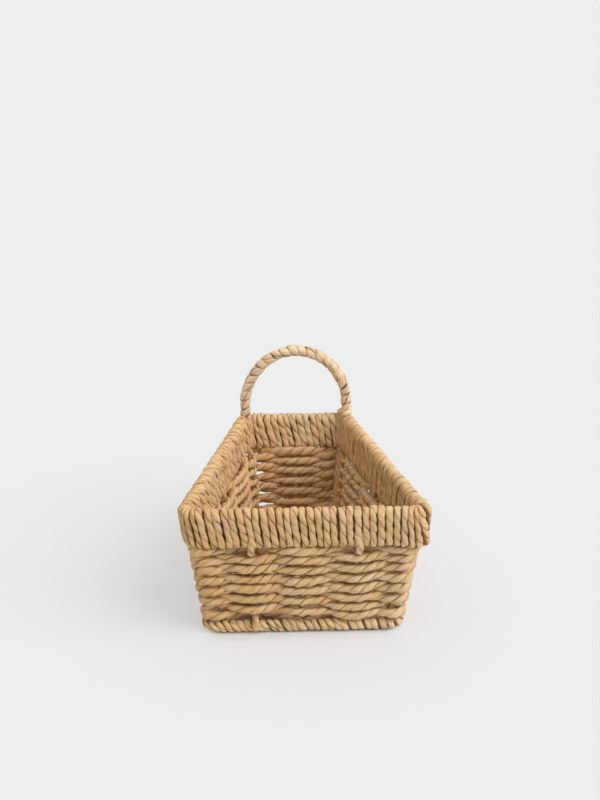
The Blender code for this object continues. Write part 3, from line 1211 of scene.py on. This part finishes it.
        # Tilt is half at the top wire and minus half at the lower one
        tilt = (level - self.top_wire) / (self.top_wire - self.lower_wire) + 0.5
        outer = np.clip(normal_out, 0, 1)
        lean = np.interp(stave, *np.transpose(self.leans), period=count)
        stave -= normal_out * tilt * (lean + self.fan * near)
        proud = self.drift(turn * self.turn_length, self.proud_drift)
        out = out + proud * normal_out + self.bulge * near * outer * (1 - self.bulge_loss * tilt)
        level = level + proud * normal_up - self.hang * near * np.clip(0.5 - tilt, 0, 1)
        level += self.front_slack * tilt * (1 - off_front)
        line = replace(self.wall, run_radius=self.run_radius)
        points, outward = line.place(stave, level, self.wire_offset + out)

        thickness = 1 + self.drift(turn, *self.thickness_drifts)
        thickness *= 1 - self.waist * np.cos(np.pi * tilt) * outer * (1 - off_front)
        middles = self.wall.corners + np.array(self.wall.intervals) / 2
        fill = np.interp(stave, middles, self.fills, period=count)
        half_width = fill * room_beside(points, self.samples) * thickness
        half_width = np.clip(half_width, self.least_half_width, self.most_half_width)

        normal = outward * normal_out[:, None]
        normal[:, 2] = normal_up
        tone = self.tone(turn, stave, (normal_out, normal_up), off_front)
        # Less painted shade on the flanks of the turns' tops, where light falls
        painted_shade_clearing = self.front_painted_shade_clearing + (self.top_painted_shade_clearing - self.front_painted_shade_clearing) * off_front
        painted_flank_share = 1 - painted_shade_clearing * np.clip(normal_up, 0, 1)
        half_depth = np.full_like(turn, self.half_depth)
        return RopePath(points, normal, half_depth, half_width, tone, painted_flank_share, closed=True)

    def build(self) -> None:
        """Make the winding, and cut it into its four sides."""
        rope = TwistedRope(lay=20 * MM, roundness=0.8, painted_flank_shade=0.9)
        skin = rope.skin(self.path(), self.rng)
        first = 0
        for side, count in zip(Side, self.turns):
            name = side.name.lower()
            last = first + count * self.samples
            piece = rope_piece(f"rim_cord_{name}", skin.part(first, last))
            self.dress(piece, Slot.WINDING, f"rim_winding_{name}")
            first = last


@dataclass
class BottomEdge(Part):
    """Bottom edge: cord wound round the base ring, in slanting turns.

    Slants are the turns' slants at the four corners, in turns.
    """

    turns: int = 92
    samples: int = 34
    turn_length: float = 20 * MM
    level: float = 4.95 * MM
    offset: float = 2.0 * MM
    reach: float = 2.5 * MM
    half_depth: float = 2.05 * MM
    fill: float = 0.52
    slants: tuple[float, ...] = (-0.3, 0.0, -0.05, -0.25)
    place_drifts: tuple[tuple[float, float], ...] = ((20 * MM, 0.08), (70 * MM, 0.14))
    proud_drift: tuple[float, float] = (14 * MM, 0.2 * MM)
    thickness_drift: tuple[float, float] = (15 * MM, 0.08)
    # Painted light: the edge's cord is made lighter, standing in for the light that the floor throws on
    # it
    lightness: float = 0.1
    tone_spread: float = 0.08

    def path(self) -> RopePath:
        """A helix round the ring: once round its section for each turn.

        Returns:
            The cord's path.
        """
        count = self.wall.staves
        turn = np.arange(self.turns * self.samples) / self.samples
        length = turn * self.turn_length
        angle = -2 * np.pi * turn
        slant = np.interp(turn / self.turns * count, self.wall.corners, self.slants, period=count)
        drift = self.drift(length, *self.place_drifts)
        stave = (turn + slant * np.sin(angle) + drift) / self.turns * count
        reach = self.reach + self.drift(length, self.proud_drift)
        out, level = reach * np.cos(angle), self.level + reach * np.sin(angle)
        points, outward = self.wall.place(stave, level, self.offset + out)
        normal = outward * np.cos(angle)[:, None]
        normal[:, 2] = np.sin(angle)
        # Painted light on the whole edge, and a random tone for each turn
        tone = self.lightness + self.tones(self.turns, self.tone_spread)[turn.astype(int)]
        thickness = 1 + self.drift(length, self.thickness_drift)
        half_width = self.fill * room_beside(points, self.samples) * thickness
        half_depth = np.full_like(turn, self.half_depth)
        return RopePath(points, normal, half_depth, half_width, tone, closed=True)

    def build(self) -> None:
        """Make the edge's winding."""
        skin = TwistedRope(lay=16 * MM, painted_flank_shade=0.7).skin(self.path(), self.rng)
        self.dress(rope_piece("edge_cord", skin), Slot.WINDING, "bottom_edge")


@dataclass
class WovenBase(Part):
    """Base: three covered stakes, and one rope woven to and fro across them."""

    level: float = 7.3 * MM
    front: float = -78.2 * MM
    back: float = 77.0 * MM
    front_half: float = 64.0 * MM
    back_half: float = 29.6 * MM
    passes: int = 22
    samples: int = 120
    end_gap: float = 1.5 * MM
    bend_share: float = 0.06
    easing_share: float = 0.12
    bend_lift_share: float = 0.3
    half_width: float = 3.6 * MM
    half_height: float = 2.1 * MM
    pass_length: float = 100 * MM
    tone_drift: tuple[float, float] = (30 * MM, 0.08)
    stake_shares: tuple[float, ...] = (0.25, 0.5, 0.75)
    stake_radius: float = 1.5 * MM
    stake_overrun: float = 2.5 * MM
    stake_samples: int = 180

    def half(self, y: Array) -> Array:
        """Half the base's width at a place along the basket."""
        share = (y - self.front) / (self.back - self.front)
        return self.front_half + share * (self.back_half - self.front_half)

    def strand(self) -> RopePath:
        """The rope: straight passes joined by half circles, over and under the stakes.

        Over and under is a cosine of the place across the base, with half a
        wave from stake to stake. A pass eases in and out by a cosine too.

        Returns:
            The rope's path.
        """
        pitch = (self.back - self.front) / (self.passes - 1)
        travel = np.arange(self.passes * self.samples) / self.samples
        number = travel.astype(int)
        within = travel - number
        sign = np.where(number % 2 == 0, 1, -1)

        bend = self.bend_share
        first, last = within < bend, within > 1 - bend
        rise = np.where(last, (within - 1 + bend) / (2 * bend), 0)
        rise = np.where(first, (within - bend) / (2 * bend), rise)
        y = np.clip(self.front + (number + rise) * pitch, self.front, self.back)

        sweep = np.clip((within - bend) / (1 - 2 * bend), 0, 1)
        eased = self.easing_share * (1 - np.cos(np.pi * sweep)) / 2 + (1 - self.easing_share) * sweep
        x = sign * (2 * eased - 1) * (self.half(y) - self.end_gap - pitch / 2)
        x = x + np.where(first | last, np.sign(x) * pitch / 2 * np.cos(np.pi * rise), 0)

        across = (x / self.half(y) + 1) / 2
        weave = np.cos(np.pi * (across * (len(self.stake_shares) + 1) - 1)) * sign
        lift = self.stake_radius + self.half_height
        z = self.level + lift * weave * np.where(first | last, self.bend_lift_share, 1)
        points = np.column_stack([x, y, z])
        up = np.tile([0.0, 0.0, 1.0], (len(points), 1))
        tone = self.drift(travel * self.pass_length, self.tone_drift, closed=False)
        ones = np.ones(len(points))
        return RopePath(points, up, self.half_height * ones, self.half_width * ones, tone)

    def stake(self, share: float) -> RopePath:
        """One stake, from the front edge to the back edge.

        Args:
            share: its place across the base, from zero at the left to one.

        Returns:
            The stake's path.
        """
        y = np.linspace(self.front - self.stake_overrun, self.back + self.stake_overrun,
                        self.stake_samples)
        x = (2 * share - 1) * self.half(y)
        points = np.column_stack([x, y, np.full_like(y, self.level)])
        up = np.tile([0.0, 0.0, 1.0], (len(y), 1))
        radius = np.full_like(y, self.stake_radius)
        return RopePath(points, up, radius, radius, np.zeros_like(y))

    def build(self) -> None:
        """Make the base's rope and stakes."""
        piece = rope_piece("base_rope", TwistedRope().skin(self.strand(), self.rng))
        self.dress(piece, Slot.STRAND, "base_strand")
        fine = TwistedRope(lay=9 * MM)
        for number, share in enumerate(self.stake_shares, start=1):
            piece = rope_piece(f"base_stake_cord_{number}", fine.skin(self.stake(share), self.rng))
            self.dress(piece, Slot.STRAND, f"base_stake_{number}")


@dataclass
class Handle(Part):
    """Upright arch of wire, wound with cord, with a knot at its right foot.

    The knot is two turns of the cord, the lower one smaller. They lie level at
    the front and step down at the back. Side tones, counter-shade tones and
    flank shade shares are given for the left leg, the top and the right leg: how
    light the cord is, partly its paler paper and partly painted light that
    lightens the legs, the right one most; how much painted shade darkens the side
    facing the light and painted light lightens the side away from it, which
    evens the shading; and how much of the flanks' painted shade it has.
    """

    radius: float = 43.2 * MM
    rise: float = 48.3 * MM
    aside: float = 0.5 * MM
    back: float = 94.7 * MM
    spring: float = 113.5 * MM
    foot: float = 101 * MM
    samples: int = 30
    turn_length: float = 20 * MM
    proud_drift: tuple[float, float] = (15 * MM, 0.12 * MM)
    width_drift: tuple[float, float] = (16 * MM, 0.045)
    tone_drift: tuple[float, float] = (20 * MM, 0.09)
    paper_and_painted_light_tones: tuple[float, float, float] = (0.37, 0.25, 0.4)
    painted_counter_shade_tones: tuple[float, float, float] = (0.1, 0.25, 0.28)
    painted_flank_shade_shares: tuple[float, float, float] = (0.85, 0.85, 0.8)

    # The winding: place drift is in turns
    reach: float = 2.95 * MM
    half_depth: float = 1.75 * MM
    half_width: float = 3.95 * MM
    pitch: float = 7.6 * MM
    first_angle: float = 2.2
    place_drift: tuple[float, float] = (0.9, 0.028)

    # The knot
    knot_turns: int = 2
    knot_aside: float = -1.6 * MM
    knot_reach: float = 4.3 * MM
    knot_half_depth: float = 2.8 * MM
    knot_half_width: float = 3.5 * MM
    knot_pitch: float = 4.6 * MM
    knot_shrink: float = 0.25
    knot_level_share: float = 0.85
    knot_sink: float = 0.9 * MM
    # Painted light on the knot, which lies in shade
    knot_painted_light: float = 0.24

    def length(self) -> float:
        """Length of the whole arch, with the ellipse's two radii averaged."""
        return 2 * (self.spring - self.foot) + math.pi * (self.radius + self.rise) / 2

    def walk(self, distance: Array) -> tuple[Array, Array, Array]:
        """Places along the arch, from the left foot to the right foot.

        The arch is a straight leg, half an ellipse and a straight leg. A
        direction is the ellipse's tangent, and the outward one its normal.

        Args:
            distance: distances along the arch.

        Returns:
            Points, directions and outward directions.
        """
        leg = self.spring - self.foot
        arc = self.length() - 2 * leg
        angle = np.pi * (1 - np.clip((distance - leg) / arc, 0, 1))
        below = np.maximum(leg - distance, 0) + np.maximum(distance - leg - arc, 0)
        zero = np.zeros_like(distance)
        across, up = np.cos(angle), np.sin(angle)
        points = np.column_stack([
            self.aside + self.radius * across, self.back + zero, self.spring + self.rise * up - below,
        ])
        direction = unit(np.column_stack([self.radius * up, zero, -self.rise * across]))
        outward = unit(np.column_stack([self.rise * across, zero, self.radius * up]))
        return points, direction, outward

    def coil(self, turn: Array, travel: Array, angle: Array, size: Array,
             sizes: tuple[float, float, float]) -> RopePath:
        """A right-handed coil round the arch.

        Args:
            turn: turns from the coil's start.
            travel: distances along the arch.
            angle: angles round the arch, from its outer side.
            size: the cord's size and reach at each point, as shares.
            sizes: from the arch's middle to the cord's middle, half the
                cord's thickness and half its width.

        Returns:
            The cord's path.
        """
        reach, half_depth, half_width = sizes
        length = turn * self.turn_length
        centre, direction, outward = self.walk(travel)
        aside = np.cross(direction, outward)
        spoke = outward * np.cos(angle)[:, None] + aside * np.sin(angle)[:, None]
        proud = self.drift(length, self.proud_drift, closed=False)
        points = centre + spoke * (reach * size + proud)[:, None]
        width = half_width * size * (1 + self.drift(length, self.width_drift, closed=False))
        tone = self.drift(length, self.tone_drift, closed=False)
        side = points[:, 0] / self.radius
        light, painted_counter_shade, handle_flank_shade = (
            np.interp(side, (-1, 0, 1), table)
            for table in (self.paper_and_painted_light_tones, self.painted_counter_shade_tones, self.painted_flank_shade_shares)
        )
        # Paler paper and painted light by side, then painted shade on the side that faces the light and
        # painted light on the side away from it
        tone += light - painted_counter_shade * (spoke[:, 0] + spoke[:, 2])
        return RopePath(points, spoke, half_depth * size, width, tone, handle_flank_shade)

    def winding(self, end: float) -> RopePath:
        """The even turns, from the left foot.

        Args:
            end: how far along the arch they go.

        Returns:
            The winding's path.
        """
        turn = np.linspace(0, end / self.pitch, int(end / self.pitch * self.samples))
        travel = (turn + self.drift(turn, self.place_drift, closed=False)) * self.pitch
        angle = self.first_angle + 2 * np.pi * turn
        return self.coil(turn, travel, angle, np.ones_like(turn),
                         (self.reach, self.half_depth, self.half_width))

    def knot(self, start: float) -> RopePath:
        """The knot's turns, which start and end at the back.

        Travel is the pitch times the turn, less a share of the sine of the
        angle from the front, which makes the front of each turn level.

        Args:
            start: where they start along the arch.

        Returns:
            The knot's path.
        """
        turn = np.linspace(0, self.knot_turns, self.knot_turns * self.samples)
        angle = 2 * np.pi * turn - np.pi / 2
        levelled = turn + self.knot_level_share * np.cos(angle) / (2 * np.pi)
        size = 1 - self.knot_shrink * turn / self.knot_turns
        path = self.coil(turn, start + self.knot_pitch * levelled, angle, size,
                         (self.knot_reach, self.knot_half_depth, self.knot_half_width))
        path.points[:, 0] += self.knot_aside
        # Painted light: the knot's cord is lighter where it lies in shade
        path.tone += self.knot_painted_light
        return path

    def build(self) -> None:
        """Make the winding and the knot."""
        knot_start = self.length() + self.knot_sink - self.knot_turns * self.knot_pitch
        pressed = TwistedRope(lay=14 * MM, ply_offset=0.12, groove_depth=0.15, lumps=0.12,
                              flank_start=0.7, painted_flank_shade=0.85)
        piece = rope_piece("handle_cord", pressed.skin(self.winding(knot_start), self.rng))
        self.dress(piece, Slot.WINDING, "handle_winding")
        full = TwistedRope(lay=20 * MM, roundness=1.0, flank_start=0.6, painted_flank_shade=0.9)
        piece = rope_piece("foot_knot", full.skin(self.knot(knot_start), self.rng))
        self.dress(piece, Slot.WINDING, "handle_foot_lashing")


# The studio


@dataclass(frozen=True)
class Studio:
    """Pale floor, soft light from the right, and a camera at the photograph's angle.

    The dome and the key are given as shares of the light that the floor would
    get from a full, even dome of white.
    """

    backdrop: str = "EEEEEE"
    floor_half: float = 60.0
    floor_paper: str = "E4E5E6"
    backdrop_share: float = 0.5
    shaded_half: tuple[float, float, float] = (70 * MM, 102 * MM, 1000 * MM)
    shade_edge_share: float = 0.86
    dome: float = 0.68
    horizon_share: float = 0.1
    key: float = 0.41
    key_elevation: float = math.radians(42)
    key_azimuth: float = math.radians(-28)
    key_spread: float = math.radians(52)
    camera_place: tuple[float, float, float] = (-30.6 * MM, -871.5 * MM, 460 * MM)
    camera_pitch: float = math.radians(19.5)
    camera_yaw: float = math.radians(-2.05)
    lens: float = 54.0

    @staticmethod
    def seen(tree: bpy.types.NodeTree) -> bpy.types.NodeSocket:
        """One for what the camera, a gloss or a clear material sees, zero for light.

        Args:
            tree: the material's or world's node tree.

        Returns:
            The socket that gives it.
        """
        path = add_node(tree, "LightPath").outputs
        mirrored = add_node(tree, "Math", {
            0: path["Is Glossy Ray"], 1: path["Is Transmission Ray"],
        }, operation="MAXIMUM").outputs[0]
        return add_node(tree, "Math", {
            0: path["Is Camera Ray"], 1: mirrored,
        }, operation="MAXIMUM").outputs[0]

    def floor(self) -> None:
        """Lay a wide pale floor, seen partly by the light on it, partly as a lit backdrop.

        Under the basket only the light on it counts.
        """
        half = self.floor_half
        mesh = bpy.data.meshes.new("floor")
        corners = [(-half, -half, 0), (half, -half, 0), (half, half, 0), (-half, half, 0)]
        mesh.from_pydata(corners, [], [(0, 1, 2, 3)])
        material = bpy.data.materials.new("pale_paper_floor")
        material.use_nodes = True
        tree = material.node_tree
        shader = tree.nodes["Principled BSDF"]
        shader.inputs["Base Color"].default_value = linear(self.floor_paper)
        shader.inputs["Roughness"].default_value = 1.0
        shader.inputs["Specular IOR Level"].default_value = 0.0
        bright = add_node(tree, "Emission", {"Color": linear(self.backdrop), "Strength": 1.0})
        place = add_node(tree, "TexCoord").outputs["Object"]
        from_middle = add_node(tree, "VectorMath", {
            0: place, 1: self.shaded_half,
        }, operation="DIVIDE").outputs["Vector"]
        from_middle = add_node(tree, "VectorMath", {0: from_middle}, operation="ABSOLUTE")
        sides = add_node(tree, "SeparateXYZ", {0: from_middle.outputs["Vector"]}).outputs
        farther = add_node(tree, "Math", {0: sides["X"], 1: sides["Y"]}, operation="MAXIMUM")
        outside = add_node(tree, "MapRange", {
            "Value": farther.outputs[0], "From Min": self.shade_edge_share, "From Max": 1.0,
            "To Max": self.backdrop_share,
        }).outputs["Result"]
        share = add_node(tree, "Math", {0: self.seen(tree), 1: outside}, operation="MULTIPLY")
        blend = add_node(tree, "MixShader", {
            0: share.outputs[0], 1: shader.outputs[0], 2: bright.outputs[0],
        })
        tree.links.new(blend.outputs[0], tree.nodes["Material Output"].inputs["Surface"])
        mesh.materials.append(material)
        floor = bpy.data.objects.new("floor", mesh)
        bpy.context.scene.collection.objects.link(floor)

    def world(self) -> None:
        """Light from all sides, most of all from above, with the backdrop's colour behind.

        Brightness grows with the sine of the height, h + (z - h) * sin; on the
        floor it adds up to that of an even dome where z is (3 - h) / 2.
        """
        world = bpy.data.worlds.new("studio")
        world.use_nodes = True
        bpy.context.scene.world = world
        tree = world.node_tree
        background = tree.nodes["Background"]
        backdrop = add_node(tree, "Background", {"Color": linear(self.backdrop), "Strength": 1.0})
        background.inputs["Color"].default_value = (1.0, 1.0, 1.0, 1.0)
        heading = add_node(tree, "TexCoord").outputs["Generated"]
        height = add_node(tree, "SeparateXYZ", {0: heading}).outputs["Z"]
        brightness = add_node(tree, "MapRange", {
            "Value": height, "To Min": self.dome * self.horizon_share,
            "To Max": self.dome * (3 - self.horizon_share) / 2,
        }).outputs["Result"]
        tree.links.new(brightness, background.inputs["Strength"])
        choice = add_node(tree, "MixShader", {
            0: self.seen(tree), 1: background.outputs[0], 2: backdrop.outputs[0],
        })
        tree.links.new(choice.outputs[0], tree.nodes["World Output"].inputs["Surface"])

    def key_light(self) -> None:
        """Shine a broad soft light from the right, a little from the front.

        The floor gets key times the light that a full dome would give it, so
        the lamp's own strength is pi times that over the sine of its elevation.
        """
        light = bpy.data.lights.new("soft_key", "SUN")
        light.angle = self.key_spread
        light.energy = math.pi * self.key / math.sin(self.key_elevation)
        lamp = bpy.data.objects.new("soft_key", light)
        lamp.rotation_euler = (0.0, math.pi / 2 - self.key_elevation, self.key_azimuth)
        bpy.context.scene.collection.objects.link(lamp)

    def camera(self) -> None:
        """Place the camera."""
        data = bpy.data.cameras.new("camera")
        data.lens = self.lens
        camera = bpy.data.objects.new("camera", data)
        camera.location = self.camera_place
        camera.rotation_euler = (math.pi / 2 - self.camera_pitch, 0.0, self.camera_yaw)
        bpy.context.scene.collection.objects.link(camera)
        bpy.context.scene.camera = camera

    def build(self) -> None:
        """Set up the studio."""
        self.camera()
        self.floor()
        self.world()
        self.key_light()
        bpy.context.scene.view_settings.view_transform = "Standard"


def dress_wires() -> None:
    """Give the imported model's own wires their finish."""
    wire = FrameWire().material()
    for name in ("rim_top_wire", "rim_lower_wire", "handle_wire"):
        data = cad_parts[name].data
        data.materials.clear()
        data.materials.append(wire)


def main() -> None:
    """Build the basket's looks and the studio."""
    logging.basicConfig(level=logging.INFO, format="%(message)s")
    Studio().build()
    wall = WallLine()
    paper = TwistedPaper().material()
    # The handle's cord is of paler paper
    lightened = TwistedPaper("pale_kraft_paper", straw="FFE4BC", honey="DDB785", blush="F5D0B0")
    handle_paper = lightened.material()
    dress_wires()
    for number, part in enumerate((WovenWall, Staves, RimBand, BottomEdge, WovenBase, Handle)):
        finish = handle_paper if part is Handle else paper
        part(wall, finish, np.random.default_rng(SEED + number)).build()


if __name__ == "__main__":
    main()
